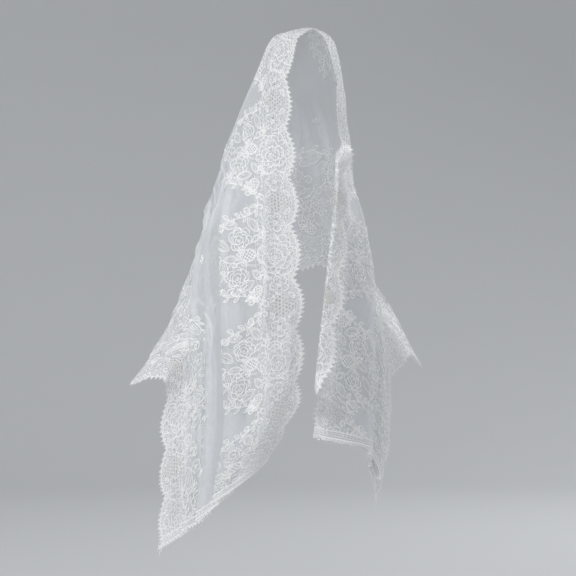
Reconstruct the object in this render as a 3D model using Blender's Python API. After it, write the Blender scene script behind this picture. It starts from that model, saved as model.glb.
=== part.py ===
"""A lace shawl worn over the head: one long panel of net with scalloped lace along both long edges, drawn
over the crown so that one long edge frames the face and the other hangs behind and over both elbows.

Metres, +Z up. The wearer faces -Y, +X is to the right of someone who looks at the face, and the origin is
on the inside of the cloth, on the crown of the head. "Run" is the way along the long edges from the crown,
negative on the left, and "across" is the way over the cloth from the front long edge to the back one.
"""

import bisect
from math import pi

import bmesh
import bpy
import numpy as np
from mathutils import Vector

MILLIMETRE = 0.001

# The cut
PITCH = 0.088            # one scallop of the lace edge along the run
LEFT_PITCHES = 9.5       # scallops from the crown to the left short end
RIGHT_PITCHES = 8.5
WIDTH = 0.55             # from tip to tip of the lashes on the two long edges
LEFT_END = -LEFT_PITCHES * PITCH
RIGHT_END = RIGHT_PITCHES * PITCH
HOOD_PITCHES = 2.5       # the hood stretch reaches this many scallops each side of the crown

# Walls and gaps
NET_WALL = 0.0012
TRIM_WALL = 0.0015
SEAM_GAP = 0.0003
SHARP_ANGLE = pi / 4     # the corners of the walls stay crisp

# Lace edge
BIG_NOTCH = 0.013        # depth of the notch between two scallops
LASH = 0.0080            # free length of a lash
LASH_FOOT = 0.0026       # width of a lash at its root
STRIP = 0.0027           # width of the strip that holds the lashes
LASH_SPACING = 0.0147
TRIM_WIDTH = 0.0150      # the narrow double-row trim on the short ends

# Open meshes cut in the lace
HOLE_ALONG = 0.0062
HOLE_ACROSS = 0.0054
HOLES_APART = 0.0135
HOLE_COLUMNS = (1, 2)    # columns from each long edge that hold the open meshes
CLUSTER_HEART = 0.1      # scallops each side of a cluster's middle where its meshes lie closest

# Mesh
ROWS_A_PITCH = 3
EDGE_COLUMNS = (0.012, 0.014, 0.015)  # the columns next to each long edge, from the edge inwards
TURN_COLUMNS = 3         # columns in the turn of the turned edge
# Columns between and in the turns of a side stretch, from its front edge columns to its back ones
LEFT_COUNTS = (5, 3, 1, 3, 2, 3, 1, 3, 1, 3, 1, 3, 6)
RIGHT_COUNTS = (3, 3, 2, 3, 2, 3, 1, 3, 6)
HOOD_COLUMNS = 16        # between its edge columns
LEAST_COLUMN = 0.002
LINE_STEPS = 120         # steps in which a rib's guide line is measured
CLOTH_STEP = 0.001       # steps in which the cloth is laid along its guide line
NEIGHBOUR = 0.0005       # how far off the ribs are that give a rib its outward directions
TURN_RADIUS = 0.006      # of the cloth where a pleat turns back

# Ribs: lines across the cloth from its front edge to its back edge, as they hang, in millimetres. Each row
# gives the run, how far the cloth bulges between its first two points, and five points spaced evenly.
RIBS = (
    # run, bulge, front, quarter, middle, three quarters, back
    (-836, 4, (-52, -124, -757), (-118, -112, -816), (-165, -78, -862), (-213, -36, -897), (-256, 0, -928)),
    (-700, 6, (4, -146, -655), (-85, -128, -688), (-165, -82, -730), (-215, -35, -766), (-253, 0, -797)),
    (-580, 6, (10, -150, -538), (-85, -128, -562), (-165, -78, -604), (-212, -30, -648), (-250, 0, -680)),
    (-520, 5, (10, -148, -478), (-90, -120, -500), (-172, -66, -545), (-224, -36, -592), (-244, -24, -630)),
    (-465, 4, (6, -141, -424), (-94, -108, -442), (-182, -45, -484), (-246, -16, -552), (-303, 50, -643)),
    (-360, 4, (2, -116, -322), (-114, -80, -325), (-192, 8, -380), (-228, 62, -492), (-270, 72, -600)),
    (-250, 8, (-6, -106, -214), (-106, -38, -208), (-150, 60, -285), (-186, 98, -402), (-222, 100, -528)),
    (-150, 14, (-12, -105, -118), (-78, -8, -98), (-106, 84, -182), (-135, 116, -312), (-160, 124, -447)),
    (-70, 20, (-6, -89, -49), (-50, 40, -26), (-66, 104, -150), (-78, 122, -285), (-90, 130, -424)),
    (0, 20, (22, -54, -8), (-2, 80, -36), (-8, 113, -162), (-12, 123, -298), (-14, 130, -436)),
    (70, 18, (48, -86, -47), (48, 42, -30), (54, 106, -152), (58, 122, -296), (62, 129, -442)),
    (150, 10, (60, -90, -118), (78, 28, -128), (84, 94, -228), (100, 116, -360), (120, 118, -492)),
    (250, 6, (60, -90, -212), (86, 18, -232), (98, 78, -338), (138, 96, -454), (172, 88, -572)),
    (360, 4, (56, -110, -314), (102, -32, -338), (118, 28, -425), (180, 52, -518), (222, 48, -610)),
    (420, 4, (50, -124, -372), (108, -62, -400), (130, -10, -470), (166, -10, -536), (196, -12, -592)),
    (470, 5, (45, -135, -418), (108, -85, -445), (132, -40, -505), (156, -20, -570), (170, -6, -626)),
    (580, 6, (33, -150, -532), (92, -118, -552), (126, -72, -590), (148, -30, -655), (164, 6, -716)),
    (660, 6, (24, -150, -620), (84, -122, -638), (122, -76, -672), (142, -30, -728), (154, 10, -790)),
    (748, 4, (14, -148, -716), (76, -124, -730), (118, -80, -748), (134, -32, -795), (136, 10, -850)),
)
HEAD_CENTRE = (0.0, 0.010, -0.115)

# Pleats: where the cloth doubles back under itself. Each has the distance of its fold from the front
# edge, and its share of the spare cloth of a rib, both as (run, value) pairs.
CHEST_PLEAT = (
    ((-0.84, 0.118), (-0.70, 0.137), (-0.46, 0.142), (-0.30, 0.130)),
    ((-0.84, 1.2), (-0.46, 1.0), (-0.36, 0.9), (-0.26, 0.0)),
)
LEFT_BREAST_PLEAT = (
    ((-0.84, 0.172), (-0.70, 0.190), (-0.46, 0.192), (-0.30, 0.190)),
    ((-0.84, 0.8), (-0.46, 0.7), (-0.36, 0.3), (-0.28, 0.0)),
)
LEFT_ARM_PLEAT = (
    ((-0.84, 0.222), (-0.70, 0.240), (-0.46, 0.244), (-0.30, 0.260)),
    ((-0.84, 1.0), (-0.50, 1.1), (-0.40, 0.5), (-0.34, 0.0)),
)
RIGHT_BREAST_PLEAT = (
    ((0.20, 0.088), (0.40, 0.100), (0.50, 0.110), (0.75, 0.118)),
    ((0.24, 0.0), (0.36, 0.6), (0.47, 1.0), (0.75, 1.0)),
)
RIGHT_ARM_PLEAT = (
    ((0.30, 0.210), (0.45, 0.190), (0.75, 0.200)),
    ((0.32, 0.0), (0.40, 0.30), (0.47, 0.35), (0.75, 0.35)),
)
LEFT_PLEATS = (CHEST_PLEAT, LEFT_BREAST_PLEAT, LEFT_ARM_PLEAT)
RIGHT_PLEATS = (RIGHT_BREAST_PLEAT, RIGHT_ARM_PLEAT)
LEAST_SHARES = 0.6       # below this the pleats of a rib die out
# Width of the right front edge that is turned over to the outside, by run
TURNED_EDGE = ((0.22, 0.0), (0.32, 0.030), (0.58, 0.030), (0.66, 0.018), (0.73, 0.0))
FULLY_TURNED = 0.026     # the edge lies flat on the cloth from this width on

# Soft folds: ridges on the cloth, from (run, across) to (run, across), with half their width and height
SOFT_FOLDS = (
    # from run, across, to run, across, half width, height
    (-0.030, 0.190, -0.215, 0.550, 0.026, 0.009),
    (-0.012, 0.200, -0.135, 0.550, 0.024, 0.008),
    (-0.004, 0.230, -0.062, 0.550, 0.022, 0.010),
    (0.000, 0.210, 0.008, 0.550, 0.024, 0.007),
    (0.006, 0.230, 0.078, 0.550, 0.024, 0.009),
    (0.020, 0.200, 0.150, 0.550, 0.026, 0.008),
    (-0.120, 0.150, -0.340, 0.185, 0.018, 0.005),
    (-0.150, 0.240, -0.330, 0.330, 0.022, 0.006),
    (-0.240, 0.400, -0.420, 0.440, 0.022, 0.006),
    (0.150, 0.140, 0.330, 0.200, 0.020, 0.005),
    (-0.560, 0.070, -0.800, 0.060, 0.020, 0.006),
    (-0.560, 0.480, -0.800, 0.470, 0.022, 0.008),
    (0.500, 0.470, 0.720, 0.460, 0.022, 0.007),
)

RIB_RUNS = [row[0] * MILLIMETRE for row in RIBS]


def rib_points(row):
    """A rib's six points: the five of the table, and one that bulges between the first two."""
    bulge = row[1] * MILLIMETRE
    points = [np.array(p) * MILLIMETRE for p in row[2:]]
    between = (points[0] + points[1]) / 2
    centre = np.array(HEAD_CENTRE)
    centre[2] = min(centre[2], between[2])
    outward = between - centre
    points.insert(1, between + bulge * outward / np.linalg.norm(outward))
    return points


RIB_POINTS = np.array([rib_points(row) for row in RIBS])
RIB_SHARES = [0.0, 0.125, 0.25, 0.5, 0.75, 1.0]


def smooth_through(knots, values, at):
    """The value at one place of a smooth curve through values at knots."""
    at = min(max(at, knots[0]), knots[-1])
    i = min(max(bisect.bisect_left(knots, at) - 1, 0), len(knots) - 2)

    def slope(k):
        before, after = max(k - 1, 0), min(k + 1, len(knots) - 1)
        if before == k or after == k:
            return (values[after] - values[before]) / (knots[after] - knots[before])
        low = (values[k] - values[before]) / (knots[k] - knots[before])
        high = (values[after] - values[k]) / (knots[after] - knots[k])
        share = (knots[after] - knots[k]) / (knots[after] - knots[before])
        return low * share + high * (1 - share)

    step = knots[i + 1] - knots[i]
    t = (at - knots[i]) / step
    return (
        (2 * t**3 - 3 * t**2 + 1) * values[i]
        + (t**3 - 2 * t**2 + t) * step * slope(i)
        + (3 * t**2 - 2 * t**3) * values[i + 1]
        + (t**3 - t**2) * step * slope(i + 1)
    )


def ease(t):
    t = np.clip(t, 0, 1)
    return t * t * (3 - 2 * t)


def by_run(pairs, run):
    return float(np.interp(run, [p[0] for p in pairs], [p[1] for p in pairs]))


def guide_line(run):
    """The smooth line of a rib, which the cloth follows but for its pleats, and its length so far."""
    points = smooth_through(RIB_RUNS, RIB_POINTS, run)
    shares = np.linspace(0, 1, LINE_STEPS + 1)
    line = np.array([smooth_through(RIB_SHARES, points, s) for s in shares])
    steps = np.linalg.norm(np.diff(line, axis=0), axis=1)
    return line, np.concatenate([[0], np.cumsum(steps)])


ACROSS = np.arange(0, WIDTH + CLOTH_STEP / 2, CLOTH_STEP)
RAMP = (np.arange(100) + 0.5) / 100
BENDS = np.linspace(0, pi, 50)
TAKEN_BY_BEND = [1 - np.cos(bend * ease(RAMP)).mean() for bend in BENDS]


def pleat_shape(take, radius):
    """How far the cloth turns in a pleat that takes up this much cloth, and its straight length then."""
    turns = 2 * pi * radius
    if take <= turns:
        return float(np.interp(take / turns, TAKEN_BY_BEND, BENDS)), 0.0
    return pi, (take - turns) / 2


def lay_out(run, spare, across):
    """The cloth's direction along its rib, as an angle from the guide line, and where its pleats are."""
    angle = np.zeros_like(across)
    turned = by_run(TURNED_EDGE, run)
    taken = 0.0
    bends = []
    curl = pi * TURN_RADIUS
    if run > TURNED_EDGE[0][0]:
        width = max(turned, FULLY_TURNED)
        bend = pi * float(ease(turned / FULLY_TURNED))
        angle -= bend * (1 - ease((across - width) / curl))
        way = np.cumsum(np.cos(angle)) * CLOTH_STEP
        taken = across[-1] - way[-1] + min(way.min(), 0)
        bends.append((width, width + curl))
    pleats = LEFT_PLEATS if run < 0 else RIGHT_PLEATS
    shares = [by_run(share, run) for _, share in pleats]
    total = max(sum(shares), LEAST_SHARES)
    spare = max(spare - taken, 0.0)
    for (place, _), share in zip(pleats, shares):
        take = spare * share / total
        bend, flat = pleat_shape(take, TURN_RADIUS)
        start = by_run(place, run) + taken
        angle -= bend * ease((across - start) / curl) * (1 - ease((across - start - curl - flat) / curl))
        bends.append((start, start + curl))
        bends.append((start + curl + flat, start + 2 * curl + flat))
        taken += take
    return angle, bends


def soft_fold_height(run, across):
    height = np.zeros_like(across)
    for from_run, from_across, to_run, to_across, half, high in SOFT_FOLDS:
        d_run, d_across = to_run - from_run, to_across - from_across
        length2 = d_run**2 + d_across**2
        t = np.clip(((run - from_run) * d_run + (across - from_across) * d_across) / length2, 0, 1)
        off = np.hypot(run - from_run - t * d_run, across - from_across - t * d_across)
        ends = ease(t * 3) * (1.0 if max(from_across, to_across) >= WIDTH else ease((1 - t) * 3))
        height += high * ends * ease(1 - off / (2 * half))
    return height


def cloth_line(run):
    """The points of the cloth along one rib, at each of ACROSS, and where its pleats turn."""
    line, way = guide_line(run)
    beside = 0.003 if run < 0 else -0.003
    along = (guide_line(run + beside)[0] - line) / beside
    outward = np.cross(along, np.gradient(line, axis=0))
    outward /= np.linalg.norm(outward, axis=1)[:, None]
    angle, bends = lay_out(run, WIDTH - way[-1], ACROSS)
    middle = (angle[1:] + angle[:-1]) / 2
    on = np.concatenate([[0], np.cumsum(np.cos(middle)) * CLOTH_STEP])
    out = np.concatenate([[0], np.cumsum(np.sin(middle)) * CLOTH_STEP])
    on -= on.min()
    on += (way[-1] - on[-1]) * ease(ACROSS / WIDTH)
    start = np.interp(bends[0][1], ACROSS, out) if run > TURNED_EDGE[0][0] else 0.0
    out -= start + (out[-1] - start) * on / way[-1]
    out += soft_fold_height(run, ACROSS)
    place = np.stack([np.interp(on, way, line[:, k]) for k in range(3)], 1)
    normal = np.stack([np.interp(on, way, outward[:, k]) for k in range(3)], 1)
    return place + normal * out[:, None], bends


class Rib:
    """The cloth along one rib: its points and outward directions by the distance across."""

    def __init__(self, run):
        self.run = run
        self.points, self.bends = cloth_line(run)
        before, after = max(run - NEIGHBOUR, LEFT_END), min(run + NEIGHBOUR, RIGHT_END)
        along = cloth_line(after)[0] - cloth_line(before)[0]
        self.outward = np.cross(along, np.gradient(self.points, axis=0))
        self.outward /= np.linalg.norm(self.outward, axis=1)[:, None]

    def at(self, across):
        """The point at a distance across, with its outward direction."""
        point = Vector([np.interp(across, ACROSS, self.points[:, k]) for k in range(3)])
        outward = Vector([np.interp(across, ACROSS, self.outward[:, k]) for k in range(3)])
        return point, outward.normalized()


def notch(run):
    """How far the scalloped outline lies inside the tips of its scallops."""
    return BIG_NOTCH * (1 - abs(np.cos(pi * run / PITCH)))


def wall_edge(run):
    """Distance of the panel's own edge from the edge of the cut, inside the strip and its lashes."""
    return notch(run) + LASH + STRIP + SEAM_GAP


def columns(rib, counts):
    """Distances across where the mesh has a line: close together in the turns of the pleats."""
    edge = wall_edge(rib.run)
    bends = list(rib.bends)
    places = [edge]
    if rib.run > TURNED_EDGE[0][0]:
        start, end = bends.pop(0)
        start = max(start, edge + LEAST_COLUMN)
        end = max(end, start + TURN_COLUMNS * LEAST_COLUMN)
        places += [start + (end - start) * k / TURN_COLUMNS for k in range(TURN_COLUMNS + 1)]
    for width in EDGE_COLUMNS:
        places.append(places[-1] + width)
    far = [WIDTH - edge - sum(EDGE_COLUMNS[:k]) for k in range(len(EDGE_COLUMNS), -1, -1)]
    knots = [places[-1]]
    for start, end in bends:
        knots += [max(start, knots[-1] + LEAST_COLUMN), max(end, knots[-1] + 2 * LEAST_COLUMN)]
    knots.append(far[0])
    for i, count in enumerate(counts):
        low, high = knots[i], knots[i + 1]
        places += [low + (high - low) * k / count for k in range(1, count + 1)]
    return places + far[1:]


def thinned(places):
    """Which of a row's places the hood keeps: the edge columns, and as few as it needs between them."""
    span = places[-1] - places[0]
    near = [sum(EDGE_COLUMNS[:k]) for k in range(len(EDGE_COLUMNS) + 1)]
    step = (span - 2 * near[-1]) / HOOD_COLUMNS
    wanted = near + [near[-1] + step * k for k in range(1, HOOD_COLUMNS)] + [span - n for n in reversed(near)]
    kept = []
    for order, want in enumerate(wanted):
        first = kept[-1] + 1 if kept else 0
        last = len(places) - (len(wanted) - order)
        kept.append(min(range(first, last + 1), key=lambda k: abs(places[k] - places[0] - want)))
    return kept


def material(name, colour, roughness):
    made = bpy.data.materials.new(name)
    made.use_nodes = True
    shader = made.node_tree.nodes["Principled BSDF"]
    shader.inputs["Base Color"].default_value = (*colour, 1.0)
    shader.inputs["Roughness"].default_value = roughness
    shader.inputs["Metallic"].default_value = 0.0
    return made


class Cloth:
    """The middle surface of a piece of cloth. Each of its points keeps the cloth's outward direction."""

    def __init__(self):
        self.mesh = bmesh.new()
        self.outward = {}

    def add_point(self, place):
        point, outward = place
        vert = self.mesh.verts.new(point)
        self.outward[vert] = outward
        return vert

    def add_between(self, first, second, share):
        point = first.co.lerp(second.co, share)
        return self.add_point((point, self.outward[first].lerp(self.outward[second], share)))

    def add_rows(self, rows):
        return [[self.add_point(place) for place in row] for row in rows]

    def add_face(self, verts):
        self.mesh.faces.new(verts).normal_update()

    def solid(self, name, wall, finish, collection):
        """Closes the surface into a wall, with half of its thickness to each side."""
        bmesh.ops.triangulate(self.mesh, faces=self.mesh.faces)
        faces = [face.verts[:] for face in self.mesh.faces]
        rim = [edge.verts[:] for edge in self.mesh.edges if len(edge.link_faces) == 1]
        inside = {}
        for vert in self.mesh.verts[:]:
            half = self.outward[vert] * (wall / 2)
            inside[vert] = self.mesh.verts.new(vert.co - half)
            vert.co += half
        for verts in faces:
            self.mesh.faces.new([inside[v] for v in reversed(verts)])
        for verts in rim:
            low, high = sorted(verts, key=lambda v: v.co.z)
            self.mesh.faces.new([low, high, inside[low]])
            self.mesh.faces.new([high, inside[high], inside[low]])
        bmesh.ops.recalc_face_normals(self.mesh, faces=self.mesh.faces)
        data = bpy.data.meshes.new(name)
        self.mesh.to_mesh(data)
        self.mesh.free()
        data.materials.append(finish)
        data.shade_smooth()
        data.set_sharp_from_angle(angle=SHARP_ANGLE)
        collection.objects.link(bpy.data.objects.new(name, data))


def is_cluster(run):
    """True for a row of the lace where its open meshes lie: on every second scallop."""
    return round(run / PITCH) % 2 == 0


def add_cell(cloth, corners, length, holes):
    """One cell of a panel, this long on the run, with none, one or two open meshes cut through it.

    The corners are at (0, 0), (1, 0), (1, 1) and (0, 1), the first number along the run.
    """
    if not holes:
        cloth.add_face(corners)
        return
    along = HOLE_ALONG / 2 / length
    apart = HOLES_APART / 2 / length
    over = HOLE_ACROSS / 2 / (corners[3].co - corners[0].co).length
    centres = [0.5] if holes == 1 else [0.5 - apart, 0.5 + apart]
    sides = []
    for centre in centres:
        for share in (centre - along, centre + along):
            low = corners[0].co.lerp(corners[1].co, share)
            high = corners[3].co.lerp(corners[2].co, share)
            low_out = cloth.outward[corners[0]].lerp(cloth.outward[corners[1]], share)
            high_out = cloth.outward[corners[3]].lerp(cloth.outward[corners[2]], share)
            sides.append([
                cloth.add_point((low.lerp(high, t), low_out.lerp(high_out, t)))
                for t in (0.5 - over, 0.5 + over)
            ])
    cloth.add_face([corners[0], *sides[0], corners[3]])
    cloth.add_face([corners[1], corners[2], *reversed(sides[-1])])
    cloth.add_face([corners[0], corners[1], *[side[0] for side in reversed(sides)]])
    cloth.add_face([corners[2], corners[3], *[side[1] for side in sides]])
    if holes == 2:
        cloth.add_face([sides[1][0], sides[2][0], sides[2][1], sides[1][1]])


def panel(rows, runs, turned_columns):
    """The surface of a stretch of the panel. Its rows have the same number of points."""
    cloth = Cloth()
    verts = cloth.add_rows(rows)
    last = len(rows[0]) - 2
    for i in range(len(runs) - 1):
        middle = (runs[i] + runs[i + 1]) / 2
        off_peak = abs(middle / PITCH - round(middle / PITCH))
        for j in range(last + 1):
            lace = is_cluster(middle) and min(j - turned_columns, last - j) in HOLE_COLUMNS
            holes = (2 if off_peak < CLUSTER_HEART else 1) if lace else 0
            corners = [verts[i][j], verts[i + 1][j], verts[i + 1][j + 1], verts[i][j + 1]]
            add_cell(cloth, corners, runs[i + 1] - runs[i], holes)
    return cloth, verts


def side_stretch(runs, counts, turned_columns=0):
    """A stretch of the panel from the hood to a short end."""
    rows = [[rib.at(a) for a in columns(rib, counts)] for rib in map(Rib, runs)]
    return panel(rows, runs, turned_columns)[0]


def add_seam(cloth, verts, kept, seam_places):
    """Joins a row of the hood to the seam beside it, which has more points."""
    seam = [cloth.add_point(place) for place in seam_places]
    for k in range(len(kept) - 1):
        between = seam[kept[k]: kept[k + 1] + 1]
        cloth.add_face([verts[k + 1], verts[k], *between])


def kept_shares(places, kept):
    """The kept places of a row as shares of its way from edge to edge."""
    span = places[-1] - places[0]
    return np.array([(places[k] - places[0]) / span for k in kept])


def hood_stretch(cut):
    """The stretch over the head, with the side stretches' own places along its two seams."""
    left_places = columns(Rib(-cut - SEAM_GAP / 2), LEFT_COUNTS)
    right_places = columns(Rib(cut + SEAM_GAP / 2), RIGHT_COUNTS)
    left_kept, right_kept = thinned(left_places), thinned(right_places)
    left_shares, right_shares = kept_shares(left_places, left_kept), kept_shares(right_places, right_kept)
    runs = rows_between(-cut, cut)
    rows = []
    for run in runs:
        t = (run + cut) / (2 * cut)
        edge = wall_edge(run)
        rib = Rib(run)
        shares = left_shares * (1 - t) + right_shares * t
        rows.append([rib.at(edge + share * (WIDTH - 2 * edge)) for share in shares])
    cloth, verts = panel(rows, runs, 0)
    left_seam, right_seam = Rib(-cut + SEAM_GAP / 2), Rib(cut - SEAM_GAP / 2)
    add_seam(cloth, verts[0], left_kept, [left_seam.at(a) for a in left_places])
    add_seam(cloth, verts[-1], right_kept, [right_seam.at(a) for a in right_places])
    return cloth


def lashes(runs, from_front):
    """The eyelash fringe of one long edge: a narrow strip beside the panel with free lashes on it."""
    rows = []
    for rib in map(Rib, runs):
        insets = [notch(rib.run) + back for back in (LASH + STRIP, LASH, 0.0)]
        rows.append([rib.at(inset if from_front else WIDTH - inset) for inset in insets])
    cloth = Cloth()
    verts = [[cloth.add_point(place) for place in row[:2]] for row in rows]
    for i in range(len(runs) - 1):
        length = runs[i + 1] - runs[i]
        count = round(length / LASH_SPACING)
        half = LASH_FOOT / 2 / length
        on_edge = [verts[i][1]]
        for k in range(count):
            centre = (k + 0.5) / count
            foot = [cloth.add_between(verts[i][1], verts[i + 1][1], centre + side) for side in (-half, half)]
            tip_place = rows[i][2][0].lerp(rows[i + 1][2][0], centre)
            tip_outward = rows[i][2][1].lerp(rows[i + 1][2][1], centre)
            cloth.add_face([*foot, cloth.add_point((tip_place, tip_outward))])
            on_edge += foot
        on_edge.append(verts[i + 1][1])
        cloth.add_face([verts[i + 1][0], verts[i][0], *on_edge])
    return cloth


def trim(runs, counts):
    """The narrow lace trim along one short end of the panel."""
    cloth = Cloth()
    near, far = cloth.add_rows([[rib.at(a) for a in columns(rib, counts)] for rib in map(Rib, runs)])
    for j in range(len(near) - 1):
        cloth.add_face([near[j], far[j], far[j + 1], near[j + 1]])
    return cloth


def rows_between(start, end):
    """Runs of the mesh rows of a stretch, each scallop in equal parts, without its two ends."""
    count = round((end - start) / PITCH * ROWS_A_PITCH)
    return [start + (end - start) * k / count for k in range(1, count)]


def main():
    for old in list(bpy.data.objects):
        bpy.data.objects.remove(old, do_unlink=True)
    shawl = bpy.data.collections.new("lace_shawl")
    bpy.context.scene.collection.children.link(shawl)
    net = material("net", (0.86, 0.87, 0.86), 0.8)
    lace = material("lace", (0.93, 0.93, 0.90), 0.7)

    cut = HOOD_PITCHES * PITCH
    half_gap = SEAM_GAP / 2
    left_seam, right_seam = LEFT_END + TRIM_WIDTH, RIGHT_END - TRIM_WIDTH
    left_rows = [left_seam + half_gap, *rows_between(LEFT_END, -cut), -cut - half_gap]
    right_rows = [cut + half_gap, *rows_between(cut, RIGHT_END), right_seam - half_gap]
    left_trim_rows, right_trim_rows = [LEFT_END, left_seam - half_gap], [right_seam + half_gap, RIGHT_END]
    edge_rows = [LEFT_END, left_seam, *rows_between(LEFT_END, RIGHT_END), right_seam, RIGHT_END]
    side_stretch(left_rows, LEFT_COUNTS).solid("left_stretch", NET_WALL, net, shawl)
    side_stretch(right_rows, RIGHT_COUNTS, TURN_COLUMNS + 1).solid("right_stretch", NET_WALL, net, shawl)
    hood_stretch(cut).solid("hood_stretch", NET_WALL, net, shawl)
    trim(left_trim_rows, LEFT_COUNTS).solid("left_end_trim", TRIM_WALL, lace, shawl)
    trim(right_trim_rows, RIGHT_COUNTS).solid("right_end_trim", TRIM_WALL, lace, shawl)
    lashes(edge_rows, True).solid("front_edge_lashes", NET_WALL, lace, shawl)
    lashes(edge_rows, False).solid("back_edge_lashes", NET_WALL, lace, shawl)


main()
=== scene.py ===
"""Looks of a lace shawl worn over the head: see-through net, lace borders on both long edges, eyelash
threads, a narrow trim on each short end, and a plain studio.

Metres, +Z up, in the frame of the solids. "Run" is the way along the long edges from the crown, negative on
the left, and "across" is the way over the cloth from the front long edge to the back one.
"""

import bisect
import random
from math import cos, pi, sin

import bpy
import numpy as np
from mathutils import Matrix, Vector


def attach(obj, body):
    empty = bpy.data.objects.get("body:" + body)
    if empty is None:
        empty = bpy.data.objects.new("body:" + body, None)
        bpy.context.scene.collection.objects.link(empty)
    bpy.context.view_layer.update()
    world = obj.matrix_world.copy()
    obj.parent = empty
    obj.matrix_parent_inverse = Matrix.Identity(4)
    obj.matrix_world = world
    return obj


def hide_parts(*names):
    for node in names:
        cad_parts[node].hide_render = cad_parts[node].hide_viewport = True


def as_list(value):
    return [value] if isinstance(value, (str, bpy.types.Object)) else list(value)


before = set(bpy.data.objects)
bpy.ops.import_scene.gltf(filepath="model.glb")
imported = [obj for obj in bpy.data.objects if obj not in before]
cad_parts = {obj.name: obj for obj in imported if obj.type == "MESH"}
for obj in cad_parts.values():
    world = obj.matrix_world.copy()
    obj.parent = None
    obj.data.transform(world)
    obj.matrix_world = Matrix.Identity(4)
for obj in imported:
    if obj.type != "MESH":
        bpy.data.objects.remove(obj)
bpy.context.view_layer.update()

MILLIMETRE = 0.001

# The cut
PITCH = 0.088            # one scallop of the lace edge along the run
LEFT_PITCHES = 9.5       # scallops from the crown to the left short end
RIGHT_PITCHES = 8.5
WIDTH = 0.55             # from tip to tip of the lashes on the two long edges
LEFT_END = -LEFT_PITCHES * PITCH
RIGHT_END = RIGHT_PITCHES * PITCH

# Lace edge
BIG_NOTCH = 0.013        # depth of the notch between two scallops
LASH = 0.0080            # free length of a lash
TRIM_WIDTH = 0.0150      # the narrow double-row trim on the short ends
SCALLOP = PITCH / MILLIMETRE

# Ribs: lines across the cloth from its front edge to its back edge, as they hang, in millimetres. Each row
# gives the run, how far the cloth bulges between its first two points, and five points spaced evenly.
RIBS = (
    # run, bulge, front, quarter, middle, three quarters, back
    (-836, 4, (-52, -124, -757), (-118, -112, -816), (-165, -78, -862), (-213, -36, -897), (-256, 0, -928)),
    (-700, 6, (4, -146, -655), (-85, -128, -688), (-165, -82, -730), (-215, -35, -766), (-253, 0, -797)),
    (-580, 6, (10, -150, -538), (-85, -128, -562), (-165, -78, -604), (-212, -30, -648), (-250, 0, -680)),
    (-520, 5, (10, -148, -478), (-90, -120, -500), (-172, -66, -545), (-224, -36, -592), (-244, -24, -630)),
    (-465, 4, (6, -141, -424), (-94, -108, -442), (-182, -45, -484), (-246, -16, -552), (-303, 50, -643)),
    (-360, 4, (2, -116, -322), (-114, -80, -325), (-192, 8, -380), (-228, 62, -492), (-270, 72, -600)),
    (-250, 8, (-6, -106, -214), (-106, -38, -208), (-150, 60, -285), (-186, 98, -402), (-222, 100, -528)),
    (-150, 14, (-12, -105, -118), (-78, -8, -98), (-106, 84, -182), (-135, 116, -312), (-160, 124, -447)),
    (-70, 20, (-6, -89, -49), (-50, 40, -26), (-66, 104, -150), (-78, 122, -285), (-90, 130, -424)),
    (0, 20, (22, -54, -8), (-2, 80, -36), (-8, 113, -162), (-12, 123, -298), (-14, 130, -436)),
    (70, 18, (48, -86, -47), (48, 42, -30), (54, 106, -152), (58, 122, -296), (62, 129, -442)),
    (150, 10, (60, -90, -118), (78, 28, -128), (84, 94, -228), (100, 116, -360), (120, 118, -492)),
    (250, 6, (60, -90, -212), (86, 18, -232), (98, 78, -338), (138, 96, -454), (172, 88, -572)),
    (360, 4, (56, -110, -314), (102, -32, -338), (118, 28, -425), (180, 52, -518), (222, 48, -610)),
    (420, 4, (50, -124, -372), (108, -62, -400), (130, -10, -470), (166, -10, -536), (196, -12, -592)),
    (470, 5, (45, -135, -418), (108, -85, -445), (132, -40, -505), (156, -20, -570), (170, -6, -626)),
    (580, 6, (33, -150, -532), (92, -118, -552), (126, -72, -590), (148, -30, -655), (164, 6, -716)),
    (660, 6, (24, -150, -620), (84, -122, -638), (122, -76, -672), (142, -30, -728), (154, 10, -790)),
    (748, 4, (14, -148, -716), (76, -124, -730), (118, -80, -748), (134, -32, -795), (136, 10, -850)),
)
HEAD_CENTRE = (0.0, 0.010, -0.115)

# Pleats: where the cloth doubles back under itself. Each has the distance of its fold from the front
# edge, and its share of the spare cloth of a rib, both as (run, value) pairs.
CHEST_PLEAT = (
    ((-0.84, 0.118), (-0.70, 0.137), (-0.46, 0.142), (-0.30, 0.130)),
    ((-0.84, 1.2), (-0.46, 1.0), (-0.36, 0.9), (-0.26, 0.0)),
)
LEFT_BREAST_PLEAT = (
    ((-0.84, 0.172), (-0.70, 0.190), (-0.46, 0.192), (-0.30, 0.190)),
    ((-0.84, 0.8), (-0.46, 0.7), (-0.36, 0.3), (-0.28, 0.0)),
)
LEFT_ARM_PLEAT = (
    ((-0.84, 0.222), (-0.70, 0.240), (-0.46, 0.244), (-0.30, 0.260)),
    ((-0.84, 1.0), (-0.50, 1.1), (-0.40, 0.5), (-0.34, 0.0)),
)
RIGHT_BREAST_PLEAT = (
    ((0.20, 0.088), (0.40, 0.100), (0.50, 0.110), (0.75, 0.118)),
    ((0.24, 0.0), (0.36, 0.6), (0.47, 1.0), (0.75, 1.0)),
)
RIGHT_ARM_PLEAT = (
    ((0.30, 0.210), (0.45, 0.190), (0.75, 0.200)),
    ((0.32, 0.0), (0.40, 0.30), (0.47, 0.35), (0.75, 0.35)),
)
LEFT_PLEATS = (CHEST_PLEAT, LEFT_BREAST_PLEAT, LEFT_ARM_PLEAT)
RIGHT_PLEATS = (RIGHT_BREAST_PLEAT, RIGHT_ARM_PLEAT)
LEAST_SHARES = 0.6       # below this the pleats of a rib die out
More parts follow.
